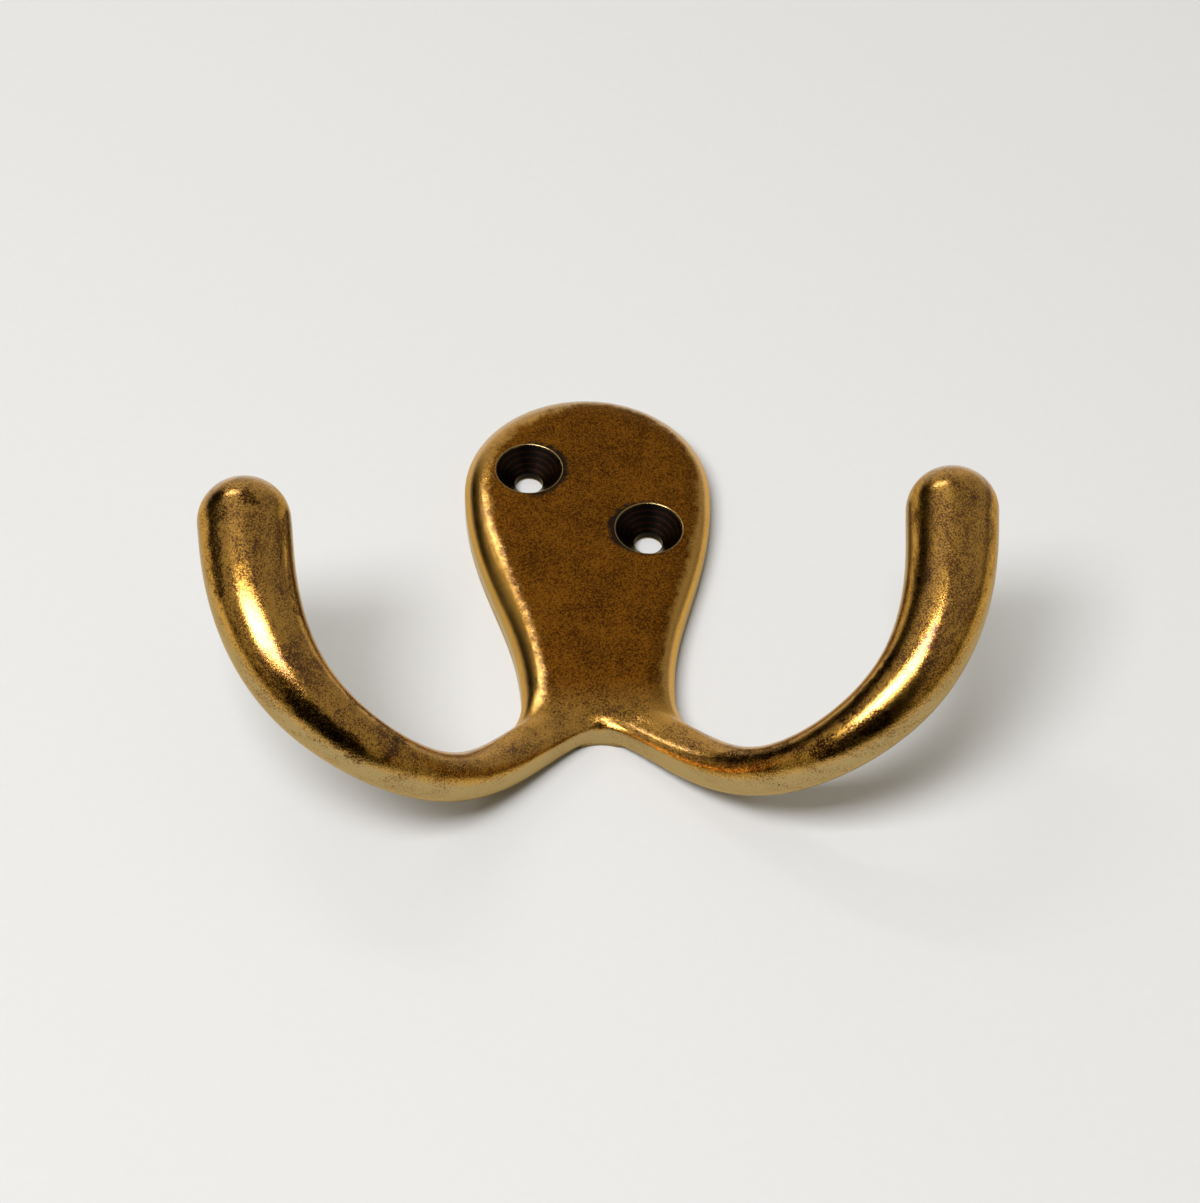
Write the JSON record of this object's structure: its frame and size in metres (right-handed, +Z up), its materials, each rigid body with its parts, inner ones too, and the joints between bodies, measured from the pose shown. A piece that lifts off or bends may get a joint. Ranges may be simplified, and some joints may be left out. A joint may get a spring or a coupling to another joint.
{
  "type": "hat and coat hook",
  "caption": "Hat and coat hook: a flat pear-shaped wall plate with countersunk screw holes set on a slant, and an arm at each side that sweeps down, out and up to a rounded tip.",
  "frame": {"origin": "midway between the two screw holes, on the flat back of the plate where it meets the wall", "axes": "+Z up the wall, +X to the right as seen from in front, +Y into the wall; the hook stands out towards -Y"},
  "size_m": [0.0766, 0.0261, 0.0578],
  "materials": {
    "antique_brass": "antiqued brass: dark brown grained flats, edges and arms rubbed bright, satin polish"
  },
  "bodies": {
    "root": {"coat_hook": "antique_brass"}
  },
  "joints": []
}
